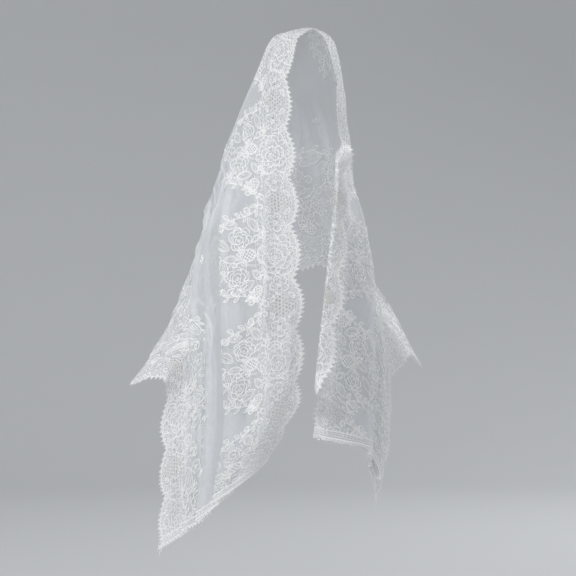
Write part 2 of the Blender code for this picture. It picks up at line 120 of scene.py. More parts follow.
# Width of the right front edge that is turned over to the outside, by run
TURNED_EDGE = ((0.22, 0.0), (0.32, 0.030), (0.58, 0.030), (0.66, 0.018), (0.73, 0.0))
FULLY_TURNED = 0.026     # the edge lies flat on the cloth from this width on

# Soft folds: ridges on the cloth, from (run, across) to (run, across), with half their width and height
SOFT_FOLDS = (
    # from run, across, to run, across, half width, height
    (-0.030, 0.190, -0.215, 0.550, 0.026, 0.009),
    (-0.012, 0.200, -0.135, 0.550, 0.024, 0.008),
    (-0.004, 0.230, -0.062, 0.550, 0.022, 0.010),
    (0.000, 0.210, 0.008, 0.550, 0.024, 0.007),
    (0.006, 0.230, 0.078, 0.550, 0.024, 0.009),
    (0.020, 0.200, 0.150, 0.550, 0.026, 0.008),
    (-0.120, 0.150, -0.340, 0.185, 0.018, 0.005),
    (-0.150, 0.240, -0.330, 0.330, 0.022, 0.006),
    (-0.240, 0.400, -0.420, 0.440, 0.022, 0.006),
    (0.150, 0.140, 0.330, 0.200, 0.020, 0.005),
    (-0.560, 0.070, -0.800, 0.060, 0.020, 0.006),
    (-0.560, 0.480, -0.800, 0.470, 0.022, 0.008),
    (0.500, 0.470, 0.720, 0.460, 0.022, 0.007),
)

# Small creases that only show: ridges and troughs as in SOFT_FOLDS
CREASES = (
    # from run, across, to run, across, half width, height
    (-0.020, 0.090, -0.200, 0.150, 0.010, 0.0037),
    (-0.020, 0.130, -0.180, 0.200, 0.012, -0.0037),
    (-0.060, 0.160, -0.300, 0.260, 0.010, 0.0045),
    (-0.180, 0.180, -0.400, 0.220, 0.009, 0.0037),
    (-0.200, 0.300, -0.420, 0.350, 0.012, 0.0053),
    (-0.280, 0.460, -0.460, 0.480, 0.010, 0.0045),
    (-0.300, 0.060, -0.620, 0.075, 0.010, 0.0045),
    (-0.420, 0.100, -0.760, 0.100, 0.009, -0.0037),
    (-0.520, 0.030, -0.700, 0.035, 0.010, 0.0045),
    (-0.560, 0.440, -0.820, 0.450, 0.009, -0.0045),
    (-0.600, 0.510, -0.820, 0.515, 0.009, 0.0045),
    (0.030, 0.100, 0.180, 0.130, 0.010, 0.0037),
    (0.060, 0.160, 0.260, 0.220, 0.010, 0.0045),
    (0.140, 0.320, 0.340, 0.360, 0.012, 0.0053),
    (0.260, 0.070, 0.560, 0.085, 0.009, 0.0037),
    (0.420, 0.330, 0.720, 0.330, 0.010, 0.0045),
    (0.480, 0.500, 0.720, 0.500, 0.010, 0.0053),
    (-0.045, 0.260, -0.160, 0.530, 0.010, -0.0045),
    (0.045, 0.260, 0.130, 0.530, 0.010, -0.0045),
    (-0.010, 0.300, -0.030, 0.530, 0.009, 0.0045),
    (-0.100, 0.170, -0.330, 0.215, 0.008, 0.0040),
    (-0.120, 0.205, -0.360, 0.250, 0.007, -0.0030),
    (-0.150, 0.240, -0.380, 0.290, 0.008, 0.0040),
    (-0.180, 0.280, -0.400, 0.325, 0.007, -0.0030),
    (-0.340, 0.250, -0.600, 0.262, 0.007, 0.0035),
    (-0.420, 0.290, -0.720, 0.300, 0.008, 0.0040),
    (-0.480, 0.345, -0.790, 0.352, 0.007, 0.0035),
    (-0.400, 0.385, -0.700, 0.392, 0.008, -0.0030),
    (-0.440, 0.150, -0.700, 0.150, 0.008, 0.0035),
    (0.120, 0.190, 0.330, 0.240, 0.008, 0.0040),
    (0.180, 0.250, 0.400, 0.290, 0.008, 0.0035),
    (0.330, 0.130, 0.620, 0.140, 0.007, 0.0030),
    (0.440, 0.250, 0.720, 0.262, 0.008, 0.0040),
    (0.470, 0.400, 0.730, 0.405, 0.008, 0.0035),
)

# Sampling
LINE_STEPS = 120         # steps in which a rib's guide line is measured
CLOTH_STEP = 0.001       # steps in which the cloth is laid along its guide line
TURN_RADIUS = 0.006      # of the cloth where a pleat turns back
PANEL_ROWS = 500
NET_ROWS = 361
NET_COLUMNS = 190
LINE_STEP = 2.9          # millimetres between the places of a lace line
CURVE_STEP = 3.0         # millimetres between the places of a curve through a few points

# Threads and openings of the lace, in millimetres
GIMP = 1.25
THREAD = 0.90
FINE = 0.55
LATTICE = 0.9
RIM_STEP = 3.0           # between the strokes of a shaded rim
SMALL_SCALLOPS = 8       # along each large scallop
SMALL_NOTCH = 2.2
CLUSTER_PITCH = 6.3      # between the meshes of the open cluster on every other scallop
CLUSTER_MIDDLE = 40
CLUSTER_REACH = 23
HOLE_PLACES = (29.8, 44.5)  # distance from the edge of the open meshes beside a cluster
HOLE_OFF = 29.3          # their distance along the run from the middle of the cluster
HOLE_RADIUS = 3.4        # of the opening in the net
HOLE_RING = 3.8          # of the thread round it
ROW_RISE = 0.87          # between rows of six-sided meshes, as a share of their pitch
COURSE = 3.4             # height of a course of brick ground
UPRIGHTS = 4.8           # between the uprights of a course

# How far the work stands off the net, in metres
LACE_LIFT = 0.0010
FILL_LIFT = 0.0006
CLOTH_LIFT = 0.0003
LASH_LIFT = 0.0004
TRIM_LIFT = 0.0009
LACE_END = TRIM_WIDTH * 0.7  # distance from a short end where the lace ends under the trim

# Lashes clump in tufts. The pairs are from and to.
TUFT_REACH = (0.0030, 0.0046)    # half the width of a tuft
LASH_PITCH = (0.0011, 0.0017)
LASH_HALF = (0.00034, 0.00050)   # half the width of a lash
LASH_ROOT = 0.0012       # of its length, on the cloth
LONG_LASH = 0.0092       # length in the middle of a tuft, root and all
LASH_TAPER = 0.0044      # how much shorter it is at the side of one

# Rows of thread of a short end's trim: distance from the end, and width
TRIM_ROWS = ((0.0028, 0.0022), (0.0066, 0.0009), (0.0104, 0.0009), (0.0140, 0.0017))
TRIM_STEP = 0.0022       # between the places of a row
TRIM_LOOP = 0.0068       # between the loops along a trim
# Ends of thread that hang from the lowest corner: sideways, back and down
THREAD_ENDS = ((0.0, 0.0, 0.018), (0.004, -0.003, 0.012), (-0.003, 0.003, 0.009))

# Rings of a rose: petals in each and how far they reach, as a share of its radius
ROSE_RINGS = ((3, 0.36), (4, 0.58), (5, 0.79), (6, 0.96))
ROSE_LEAN = 0.22         # how far its heart lies off its middle

# The motifs of one repeat, by kind. u is along the run from its middle and w inwards from the tips of the
# lashes, both in millimetres. They fill the edge and a deep lobe behind the rose.
LOBE = {
    # u, w, radius, turn
    "rose": (
        (0, 45, 35, 0.4),
        (-26, 116, 21, 1.2),
        (30, 106, 18, 0.2),
    ),
    # u, w, radius, turn
    "blossom": (
        (-52, 44, 17, 0.4),
        (53, 46, 17, 0.9),
        (4, 152, 13, 0.1),
    ),
    # u, w, long, wide, turn
    "medallion": (
        (3, 93, 22, 17, 1.7),
        (-58, 82, 20, 15, 2.4),
    ),
    # u, w, long, wide, turn
    "pod": (
        (-44, 100, 30, 15, 1.9),
        (50, 84, 30, 15, 0.7),
        (26, 138, 32, 14, 0.9),
        (-22, 148, 30, 14, 2.2),
        (52, 122, 24, 12, 1.5),
        (2, 124, 26, 12, 1.4),
        (-30, 80, 24, 12, 0.7),
    ),
    # u, w, long, wide, turn
    "lozenge": (
        (28, 80, 20, 11, 2.3),
        (-48, 130, 20, 11, 2.0),
        (-80, 68, 18, 10, 0.6),
    ),
    # u, w, radius, start, turns, hand
    "scroll": (
        (-72, 94, 10, 0.3, 1.15, 1.0),
        (72, 96, 10, 2.6, 1.15, -1.0),
        (24, 164, 8, 5.0, 1.1, 1.0),
        (-44, 152, 8, 4.0, 1.1, -1.0),
        (78, 70, 7, 1.5, 1.1, 1.0),
    ),
    # u, w, long, wide, turn
    "brick": (
        (-8, 138, 26, 13, 0.3),
    ),
    # points, ring radius
    "beads": (
        (((-66, 68), (-52, 66), (-36, 66)), 1.9),
        (((36, 68), (52, 66), (68, 70)), 1.9),
        (((-14, 84), (-12, 98), (-16, 108)), 1.7),
        (((40, 100), (44, 112), (40, 124)), 1.7),
    ),
    # points, leaf length, steps between leaves
    "vine": (
        (
            ((-88, 74), (-68, 84), (-60, 108), (-52, 140), (-30, 164), (-4, 168), (18, 176), (30, 194)),
            12,
            3,
        ),
        (((88, 74), (70, 84), (62, 104), (58, 132), (42, 152), (20, 160)), 12, 3),
        (((-18, 164), (-26, 178), (-20, 196)), 12, 2),
        (((20, 62), (32, 68), (42, 62)), 8, 1),
        (((-20, 62), (-32, 68), (-42, 62)), 8, 1),
    ),
    # base, tip, width, bend
    "leaf": (
        ((-34, 34), (-49, 22), 9, 1),
        ((34, 34), (49, 24), 9, -1),
        ((-66, 30), (-78, 20), 7, 1),
        ((66, 32), (78, 20), 7, -1),
        ((-68, 54), (-80, 60), 7, 1),
        ((68, 56), (80, 60), 7, -1),
        ((14, 112), (10, 104), 6, 1),
        ((-6, 112), (-10, 122), 7, 1),
        ((46, 134), (58, 144), 8, 1),
        ((-46, 112), (-58, 120), 8, 1),
    ),
}
# What fills the bays between the lobes where the border is deep, as it is over the arms
BAY = {
    "rose": (
        (-88, 118, 22, 0.9),
        (-2, 196, 18, 0.7),
    ),
    "blossom": (
        (-84, 178, 14, 0.3),
        (58, 190, 13, 0.8),
    ),
    "pod": (
        (74, 122, 30, 15, 1.2),
        (-66, 146, 32, 15, 0.5),
        (70, 156, 32, 15, 2.5),
        (-40, 190, 30, 14, 1.1),
        (34, 208, 28, 13, 2.0),
    ),
    "brick": (
        (-88, 150, 44, 18, 0.15),
        (44, 172, 40, 17, 2.9),
        (-58, 206, 40, 16, 0.4),
        (22, 182, 24, 12, 1.3),
    ),
    "scroll": (
        (-62, 170, 9, 2.0, 1.15, 1.0),
        (84, 186, 9, 0.5, 1.15, -1.0),
    ),
    "vine": (
        (((-88, 212), (-60, 222), (-30, 214), (0, 222), (30, 226), (60, 216), (88, 212)), 12, 3),
        (((-88, 96), (-76, 112), (-70, 130)), 9, 2),
    ),
}
# Sprigs scattered over the plain net: across from the front edge, and run of the first, in millimetres
SPRIG_ROWS = ((272, 40),)
SPRIG_PITCH = SCALLOP

# Colours, opacities and patterns
THREAD_WHITE = (0.97, 0.97, 0.965)
THREAD_SHADE = (0.90, 0.90, 0.89)
CLOTHWORK_ALPHA = 0.45
# The net's thread is as white as the lace. The grey of its two colours is painted shade, and the two colours
# mottle in soft random patches.
NET_GREY_PAINTED_SHADE = (0.78, 0.80, 0.83)
NET_PATCH_GREY_PAINTED_SHADE = (0.70, 0.73, 0.76)
NET_ALPHA = 0.24
GATHERED_ALPHA = 0.34    # more where threads crowd on the ridge of a fold
GATHERED_SPREAD = 0.55
NET_THREAD_ALPHA = 0.30
NET_PERIOD = 0.0030
THREAD_PATCHES = 60.0    # scale of the patches of white
NET_PATCHES = 14.0
TWIST = 900.0            # scale of the twist of a thread
RELIEF = 0.0003          # height of the fine bump

# Studio
FLOOR = -1.25
ROOM = 5.5               # radius of the flat floor
ROOM_SIDES = 64
WALL_HEIGHT = 7.0
SWEEP = 2.0
PAPER_COLOUR = (0.50, 0.51, 0.52)
CAMERA_DISTANCE = 4.5
FRAME_WIDTH = 1.0253     # that the picture shows at the origin's depth
FRAME_CENTRE = (-0.0214, -0.4628)
LIGHT_AIM = (0.0, 0.0, -0.45)
LIGHTS = (
    # name, place, size, watts
    ("key", (-4.6, -3.4, 2.2), 2.0, 215.0),
    ("fill", (3.2, -4.6, 1.2), 2.8, 50.0),
    ("back_light", (3.4, 4.6, 2.4), 2.4, 150.0),
)
SKY_COLOUR = (0.97, 0.985, 1.0, 1)
SKY = 0.78

RIB_RUNS = [row[0] * MILLIMETRE for row in RIBS]


def rib_points(row):
    """A rib's six points: the five of the table, and one that bulges between the first two."""
    bulge = row[1] * MILLIMETRE
    points = [np.array(p) * MILLIMETRE for p in row[2:]]
    between = (points[0] + points[1]) / 2
    centre = np.array(HEAD_CENTRE)
    centre[2] = min(centre[2], between[2])
    outward = between - centre
    points.insert(1, between + bulge * outward / np.linalg.norm(outward))
    return points


RIB_POINTS = np.array([rib_points(row) for row in RIBS])
RIB_SHARES = [0.0, 0.125, 0.25, 0.5, 0.75, 1.0]


def smooth_through(knots, values, at):
    """The value at one place of a smooth curve through values at knots."""
    at = min(max(at, knots[0]), knots[-1])
    i = min(max(bisect.bisect_left(knots, at) - 1, 0), len(knots) - 2)

    def slope(k):
        before, after = max(k - 1, 0), min(k + 1, len(knots) - 1)
        if before == k or after == k:
            return (values[after] - values[before]) / (knots[after] - knots[before])
        low = (values[k] - values[before]) / (knots[k] - knots[before])
        high = (values[after] - values[k]) / (knots[after] - knots[k])
        share = (knots[after] - knots[k]) / (knots[after] - knots[before])
        return low * share + high * (1 - share)

    step = knots[i + 1] - knots[i]
    t = (at - knots[i]) / step
    return (
        (2 * t**3 - 3 * t**2 + 1) * values[i]
        + (t**3 - 2 * t**2 + t) * step * slope(i)
        + (3 * t**2 - 2 * t**3) * values[i + 1]
        + (t**3 - t**2) * step * slope(i + 1)
    )


def ease(t):
    """From 0 to 1, with a soft start and end."""
    t = np.clip(t, 0, 1)
    return t * t * (3 - 2 * t)


def by_run(pairs, run):
    """The value at a run, between the rows of a table of pairs."""
    return float(np.interp(run, [p[0] for p in pairs], [p[1] for p in pairs]))


def guide_line(run):
    """The smooth line of a rib, which the cloth follows but for its pleats, and its length so far."""
    points = smooth_through(RIB_RUNS, RIB_POINTS, run)
    shares = np.linspace(0, 1, LINE_STEPS + 1)
    line = np.array([smooth_through(RIB_SHARES, points, s) for s in shares])
    steps = np.linalg.norm(np.diff(line, axis=0), axis=1)
    return line, np.concatenate([[0], np.cumsum(steps)])


ACROSS = np.arange(0, WIDTH + CLOTH_STEP / 2, CLOTH_STEP)
RAMP = (np.arange(100) + 0.5) / 100
BENDS = np.linspace(0, pi, 50)
TAKEN_BY_BEND = [1 - np.cos(bend * ease(RAMP)).mean() for bend in BENDS]


def pleat_shape(take, radius):
    """How far the cloth turns in a pleat that takes up this much cloth, and its straight length then."""
    turns = 2 * pi * radius
    if take <= turns:
        return float(np.interp(take / turns, TAKEN_BY_BEND, BENDS)), 0.0
    return pi, (take - turns) / 2


def lay_out(run, spare, across):
    """The cloth's direction along its rib, as an angle from the guide line, and where a turned edge ends."""
    angle = np.zeros_like(across)
    turned = by_run(TURNED_EDGE, run)
    taken = 0.0
    edge_end = None
    curl = pi * TURN_RADIUS
    if run > TURNED_EDGE[0][0]:
        width = max(turned, FULLY_TURNED)
        bend = pi * float(ease(turned / FULLY_TURNED))
        angle -= bend * (1 - ease((across - width) / curl))
        way = np.cumsum(np.cos(angle)) * CLOTH_STEP
        taken = across[-1] - way[-1] + min(way.min(), 0)
        edge_end = width + curl
    pleats = LEFT_PLEATS if run < 0 else RIGHT_PLEATS
    shares = [by_run(share, run) for _, share in pleats]
    total = max(sum(shares), LEAST_SHARES)
    spare = max(spare - taken, 0.0)
    for (place, _), share in zip(pleats, shares):
        take = spare * share / total
        bend, flat = pleat_shape(take, TURN_RADIUS)
        start = by_run(place, run) + taken
        angle -= bend * ease((across - start) / curl) * (1 - ease((across - start - curl - flat) / curl))
        taken += take
    return angle, edge_end


def beside(fold, run, across):
    """How far along a fold these places are, from 0 to 1, and their distance from its line."""
    from_run, from_across, to_run, to_across = fold[:4]
    d_run, d_across = to_run - from_run, to_across - from_across
    t = ((run - from_run) * d_run + (across - from_across) * d_across) / (d_run**2 + d_across**2)
    t = np.clip(t, 0, 1)
    return t, np.hypot(run - from_run - t * d_run, across - from_across - t * d_across)


def soft_fold_height(run, across):
    """How high the soft folds stand at these places. A fold that reaches the back edge runs out over it."""
    height = np.zeros_like(across)
    for fold in SOFT_FOLDS:
        t, off = beside(fold, run, across)
        half, high = fold[4:]
        ends = ease(t * 3) * (1.0 if max(fold[1], fold[3]) >= WIDTH else ease((1 - t) * 3))
        height += high * ends * ease(1 - off / (2 * half))
    return height


def cloth_line(run):
    """The points of the cloth along one rib, at each of ACROSS."""
    line, way = guide_line(run)
    next_to = 0.003 if run < 0 else -0.003
    along = (guide_line(run + next_to)[0] - line) / next_to
    outward = np.cross(along, np.gradient(line, axis=0))
    outward /= np.linalg.norm(outward, axis=1)[:, None]
    angle, edge_end = lay_out(run, WIDTH - way[-1], ACROSS)
    middle = (angle[1:] + angle[:-1]) / 2
    on = np.concatenate([[0], np.cumsum(np.cos(middle)) * CLOTH_STEP])
    out = np.concatenate([[0], np.cumsum(np.sin(middle)) * CLOTH_STEP])
    on -= on.min()
    on += (way[-1] - on[-1]) * ease(ACROSS / WIDTH)
    start = np.interp(edge_end, ACROSS, out) if edge_end else 0.0
    out -= start + (out[-1] - start) * on / way[-1]
    out += soft_fold_height(run, ACROSS)
    place = np.stack([np.interp(on, way, line[:, k]) for k in range(3)], 1)
    normal = np.stack([np.interp(on, way, outward[:, k]) for k in range(3)], 1)
    return place + normal * out[:, None]


def notch(run):
    """How far the scalloped outline lies inside the tips of its scallops."""
    return BIG_NOTCH * (1 - abs(np.cos(pi * run / PITCH)))


class Panel:
    """The whole draped cloth, sampled closely enough to lay the lace on it."""

    def __init__(self):
        self.runs = np.linspace(LEFT_END, RIGHT_END, PANEL_ROWS)
        self.points = np.array([cloth_line(run) for run in self.runs])
        self.points += crease_heights(self.runs, self.points)
        self.outward = away_from(self.points)
        self.outward *= np.array([showing_side(run, ACROSS) for run in self.runs])[:, :, None]

    def place(self, run, across, lift=0.0):
        """Points on the cloth, lifted off it on its outer side. A run past a short end goes straight on."""
        i = (np.asarray(run) - LEFT_END) / (RIGHT_END - LEFT_END) * (PANEL_ROWS - 1)
        j = np.clip(np.asarray(across) / WIDTH, 0, 1) * (len(ACROSS) - 1)
        i0, j0 = np.clip(i.astype(int), 0, PANEL_ROWS - 2), np.minimum(j.astype(int), len(ACROSS) - 2)
        s, t = (i - i0)[..., None], (j - j0)[..., None]

        def mixed(field):
            low = field[i0, j0] * (1 - s) + field[i0 + 1, j0] * s
            return low * (1 - t) + (field[i0, j0 + 1] * (1 - s) + field[i0 + 1, j0 + 1] * s) * t

        return mixed(self.points) + mixed(self.outward) * np.asarray(lift)[..., None]


def away_from(points):
    """Unit directions square to the cloth, away from the wearer."""
    along, over = np.gradient(points, axis=0), np.gradient(points, axis=1)
    outward = np.cross(along, over)
    return outward / np.linalg.norm(outward, axis=2)[:, :, None]


def showing_side(run, across):
    """Which side of the cloth shows: 1 for the outer side, and -1 where the front edge is turned over."""
    turned = by_run(TURNED_EDGE, run)
    over = float(ease(turned / FULLY_TURNED))
    return 1 - 2 * over * (1 - ease((across - max(turned, FULLY_TURNED)) / (pi * TURN_RADIUS)))


def crease_strength(crease, run, across, spread):
    """How much of a crease there is at these places: 1 on its line, 0 past this many of its half widths."""
    t, off = beside(crease, run, across)
    return ease(t * 4) * ease((1 - t) * 4) * ease(1 - off / (spread * crease[4]))


def crease_heights(runs, points):
    """Small creases that only show, as offsets along the cloth's outward direction."""
    height = np.zeros(points.shape[:2])
    for crease in CREASES:
        height += crease[5] * crease_strength(crease, runs[:, None], ACROSS, 2.0)
    return away_from(points) * height[:, :, None]


def add_object(name, data):
    made = bpy.data.objects.new(name, data)
    bpy.context.scene.collection.objects.link(made)
    return made


class Piece:
    """A mesh made of bands: strips of quads between two lines of points."""

    def __init__(self, name):
        self.name = name
        self.verts, self.faces, self.finishes = [], [], []
        self.count = 0

    def add_bands(self, left, right, finish=0):
        """Bands as arrays of points, one row for each band, with their left and right lines."""
        bands, places = left.shape[:2]
        first = self.count + np.arange(bands)[:, None] * places + np.arange(places - 1)
        first = first.reshape(-1)
        over = bands * places
        self.faces.append(np.stack([first, first + 1, first + 1 + over, first + over], 1))
        self.finishes += [finish] * len(first)
        self.verts += [left.reshape(-1, left.shape[2]), right.reshape(-1, right.shape[2])]
        self.count += 2 * over

    def build(self, slots, place):
        """The object, with these materials, once its places are laid on the cloth."""
        data = bpy.data.meshes.new(self.name)
        verts = place(np.concatenate(self.verts))
        data.from_pydata(verts.tolist(), [], np.concatenate(self.faces).tolist())
        for made in slots:
            data.materials.append(made)
        data.polygons.foreach_set("material_index", self.finishes)
        data.shade_smooth()
        made = add_object(self.name, data)
        return made


def turned(points, angle):
    """Points turned about the origin."""
    c, s = cos(angle), sin(angle)
    return np.asarray(points, float) @ np.array([(c, s), (-s, c)])


def around(angle):
    """Directions at these angles."""
    return np.stack([np.cos(angle), np.sin(angle)], -1)


def spaced(points, step):
    """The same line with places at even steps."""
    points = np.asarray(points, float)
    way = np.concatenate([[0], np.cumsum(np.linalg.norm(np.diff(points, axis=0), axis=1))])
    at = np.linspace(0, way[-1], max(2, int(np.ceil(way[-1] / step)) + 1))
    return np.stack([np.interp(at, way, points[:, k]) for k in range(2)], 1)


def resampled(line, count):
    """The same line with this many places."""
    at, own = np.linspace(0, 1, count), np.linspace(0, 1, len(line))
    return np.stack([np.interp(at, own, line[:, k]) for k in (0, 1)], 1)


def curved(points, step=CURVE_STEP):
    """A smooth curve through a few points."""
    points = np.asarray(points, float)
    ends = np.concatenate([[2 * points[0] - points[1]], points, [2 * points[-1] - points[-2]]])
    t = np.linspace(0, 1, 9)[:-1, None]
    line = []
    for a, b, c, d in zip(ends, ends[1:], ends[2:], ends[3:]):
        bend, twist = 2 * a - 5 * b + 4 * c - d, 3 * b - a - 3 * c + d
        line.append(0.5 * (2 * b + (c - a) * t + bend * t**2 + twist * t**3))
    return spaced(np.concatenate(line + [points[-1:]]), step)


def sideways(line):
    """Unit directions to the left of a line."""
    way = np.gradient(line, axis=0)
    side = np.stack([-way[:, 1], way[:, 0]], 1)
    return side / np.maximum(np.linalg.norm(side, axis=1), 1e-9)[:, None]


class Lace:
    """Lace work along one long edge. Places are in millimetres: u along the run from the middle of a
    repeat, w inwards from the tips of the lashes. Points are kept as run, w and lift until they are laid
    on the cloth together."""

    def __init__(self, name, panel, from_front, dice):
        self.outside, self.inside = Piece(name), Piece(name + "_inside")
        self.panel, self.from_front, self.dice = panel, from_front, dice
        self.middle = 0.0

    def build(self, slots):
        def place(points):
            across = points[:, 1] if self.from_front else WIDTH - points[:, 1]
            return self.panel.place(points[:, 0], across, points[:, 2])

        return [piece.build(slots, place) for piece in (self.outside, self.inside)]

    def keep_bands(self, piece, left, right, lift, finish=0):
        """Keeps bands that lie between the trims and inside the scalloped outline."""
        both = np.concatenate([left, right], 1)
        run = self.middle + both[..., 0] * MILLIMETRE
        fits = (run > LEFT_END + LACE_END) & (run < RIGHT_END - LACE_END)
        fits &= both[..., 1] > edge_at(both[..., 0], self.middle) - 0.5
        kept = fits.all(1)
        if kept.any():
            raised = []
            for side in (left[kept], right[kept]):
                lifted = np.full((*side.shape[:2], 1), lift)
                along, inwards = self.middle + side[..., :1] * MILLIMETRE, side[..., 1:] * MILLIMETRE
                raised.append(np.concatenate([along, inwards, lifted], 2))
            piece.add_bands(raised[0], raised[1], finish)

    def line(self, points, width, lift=LACE_LIFT, step=LINE_STEP):
        """A thread along a line; each step is a band of its own, so that a thread can end anywhere."""
        points = spaced(points, step)
        side = sideways(points) * width / 2
        left, right = points + side, points - side
        left, right = np.stack([left[:-1], left[1:]], 1), np.stack([right[:-1], right[1:]], 1)
        self.keep_bands(self.outside, left, right, lift)
        if width >= THREAD:
            self.keep_bands(self.inside, left, right, -lift)

    def strokes(self, starts, ends, width, lift=FILL_LIFT):
        """Many short straight threads."""
        starts, ends = np.asarray(starts, float), np.asarray(ends, float)
        way = ends - starts
        side = np.stack([-way[:, 1], way[:, 0]], 1)
        side *= width / 2 / np.maximum(np.linalg.norm(side, axis=1), 1e-6)[:, None]
        left = np.stack([starts + side, ends + side * 0.6], 1)
        right = np.stack([starts - side, ends - side * 0.6], 1)
        self.keep_bands(self.outside, left, right, lift)

    def cloth(self, low, high):
        """Half-open clothwork between two lines with as many places each."""
        low, high = np.asarray(low, float), np.asarray(high, float)
        left, right = np.stack([low[:-1], low[1:]], 1), np.stack([high[:-1], high[1:]], 1)
        self.keep_bands(self.outside, left, right, CLOTH_LIFT, 1)

    def shaded_rim(self, outer, inner, share, width=FINE):
        """Clothwork that starts dense at a heavy outline and thins out in uneven strokes."""
        outer = np.asarray(outer, float)
        k = np.arange(len(outer))
        depth = share * (0.62 + 0.38 * np.sin(k * 2.4 + self.dice.uniform(0, 6)))[:, None]
        self.strokes(outer, outer + (inner - outer) * depth, width)
        self.cloth(outer + (inner - outer) * share * 0.45, outer)

    def petal(self, centre, angle, spread, low, high):
        """A petal seen from above: a wavy outer line, a shaded rim and a line to the heart on each side."""
        count = max(7, int(2 * spread * high / RIM_STEP * 1.2))
        t = np.linspace(-1, 1, count)
        crest = self.dice.uniform(-0.25, 0.25)
        dent = 0.09 * np.exp(-(((t - crest) / 0.16) ** 2))
        arch = 0.36 * (1 - np.abs(t - crest * (1 - t * t)) ** 2.4)
        reach = high * (0.78 + arch - dent + 0.02 * np.sin(t * 8 + self.dice.uniform(0, 6)))
        ray = around(angle + t * spread)
        outer = centre + ray * reach[:, None]
        inner = centre + ray * low
        self.line(outer, THREAD)
        self.shaded_rim(outer, inner, 0.52)
        self.line([outer[0], inner[0]], FINE)

    def rose(self, u, w, radius, turn=0.0):
        """A full rose: a curled heart and rings of petals, each set between those inside it."""
        lean = around(np.array(turn + 2.0)) * radius * ROSE_LEAN
        heart = np.array([u, w]) + lean
        angle = np.linspace(0, 3.6 * pi, 30)
        curl = radius * (0.03 + 0.13 * angle / angle[-1])
        self.line(heart + around(angle + turn) * curl[:, None], THREAD)
        low = 0.17
        for petals, high in ROSE_RINGS:
            centre = (u, w) + lean * (1 - high)
            shift = self.dice.uniform(-0.3, 0.3)
            for k in range(petals):
                size = radius * high * self.dice.uniform(0.88, 1.07)
                facing = turn + shift + 2 * pi * k / petals
                self.petal(centre, facing, pi / petals * 1.06, radius * low, size)
            low = high * 0.84

    def blossom(self, u, w, radius, turn=0.0, petals=5):
        """A flat flower with an open heart."""
        centre = np.array([u, w], float)
        for k in range(petals):
            self.petal(centre, turn + 2 * pi * k / petals, pi / petals * 0.9, radius * 0.26, radius * 0.86)
        for share in (0.1, 0.22):
            self.ring(centre, radius * share)

    def ring(self, centre, radius, width=THREAD):
        """A small loop of thread."""
        angle = np.linspace(0, 2 * pi, 7 + int(radius * 1.2))
        self.line(centre + around(angle) * radius, width, step=max(LINE_STEP * 0.7, radius * 0.8))

    def leaf(self, base, tip, width, bend=0.0):
        """A pointed leaf: outline, midrib, one half in close strokes and the other in open veins."""
        base, tip = np.asarray(base, float), np.asarray(tip, float)
        way = tip - base
        length = np.linalg.norm(way)
        side = np.array([-way[1], way[0]]) / length
        t = np.linspace(0, 1, max(6, int(length / RIM_STEP)))
        middle = base + t[:, None] * way + (np.sin(pi * t) * bend)[:, None] * side
        half = (np.sin(pi * t**0.85) ** 0.75 * width / 2)[:, None] * side
        ripple = (0.05 * width * np.sin(t * 26))[:, None] * side
        self.line(middle + half + ripple, THREAD)
        self.line(middle - half - ripple, THREAD)
        self.line(middle, FINE)
        self.strokes(middle[:-1], (middle + half)[1:], FINE)
        self.cloth(middle, middle + half)
        self.strokes(middle[1:-2:3], (middle - half)[2:-1:3], FINE)

    def pod(self, u, w, long, wide, turn):
        """A large pointed oval with a double outline, a ladder between the lines and net inside."""
        t = np.linspace(0, 1, 12)
        arc = np.stack([(t - 0.5) * long, np.sin(pi * t) ** 0.8 * wide / 2], 1)
        for flip in (1, -1):
            outer = spaced(turned(arc * (1, flip), turn) + (u, w), RIM_STEP)
            inner = spaced(turned(arc * (0.74, flip * 0.62), turn) + (u, w), RIM_STEP)
            self.line(outer, THREAD)
            self.line(inner, FINE)
            self.strokes(outer, resampled(inner, len(outer)), FINE)
        self.line(turned([(-long * 0.3, 0), (long * 0.3, 0)], turn) + (u, w), FINE)

    def scroll(self, u, w, radius, start, turns, hand=1.0):
        """A hooked scroll with beads inside its heavy outer line."""
        angle = np.linspace(0, turns * 2 * pi, 34)
        reach = radius * (0.2 + 0.8 * (angle / angle[-1]) ** 0.8)
        line = around(start + angle * hand) * reach[:, None]
        self.line(line + (u, w), GIMP)
        self.line(line[8:] * 0.72 + (u, w), FINE)
        outer = spaced(line[8:] + (u, w), RIM_STEP)
        inner = spaced(line[8:] * 0.72 + (u, w), RIM_STEP)
        self.strokes(outer[::2], resampled(inner, len(outer))[::2], FINE)

    def medallion(self, u, w, long, wide, turn, cell=4.3):
        """An oval of diamond lattice with a crown of small leaves."""
        angle = np.linspace(0, 2 * pi, 34)
        oval = np.stack([np.cos(angle) * long / 2, np.sin(angle) * wide / 2], 1)
        centre = np.array([u, w], float)
        self.line(turned(oval, turn) + centre, THREAD)
        outer = turned(oval * 1.18, turn) + centre
        self.line(outer, THREAD)
        self.strokes(outer, turned(oval * 1.02, turn) + centre, FINE)
        for lean in (-1, 1):
            for k in range(-9, 10):
                across = np.linspace(-long, long, 60)
                line = np.stack([across, lean * across + k * cell * 1.414], 1)
                kept = line[(line[:, 0] / long * 2) ** 2 + (line[:, 1] / wide * 2) ** 2 < 1]
                if len(kept) > 1:
                    self.line(turned(kept[[0, -1]], turn) + centre, LATTICE)
        for k in range(-3, 4):
            lean = k * 0.44
            root = np.array([long * 0.58 * cos(lean * 0.8), wide * 0.58 * sin(lean * 0.8)])
            tip = root + np.array([cos(lean), sin(lean)]) * long * (0.44 - 0.04 * abs(k))
            root, tip = turned([root, tip], turn) + centre
            self.leaf(root, tip, 4.6)

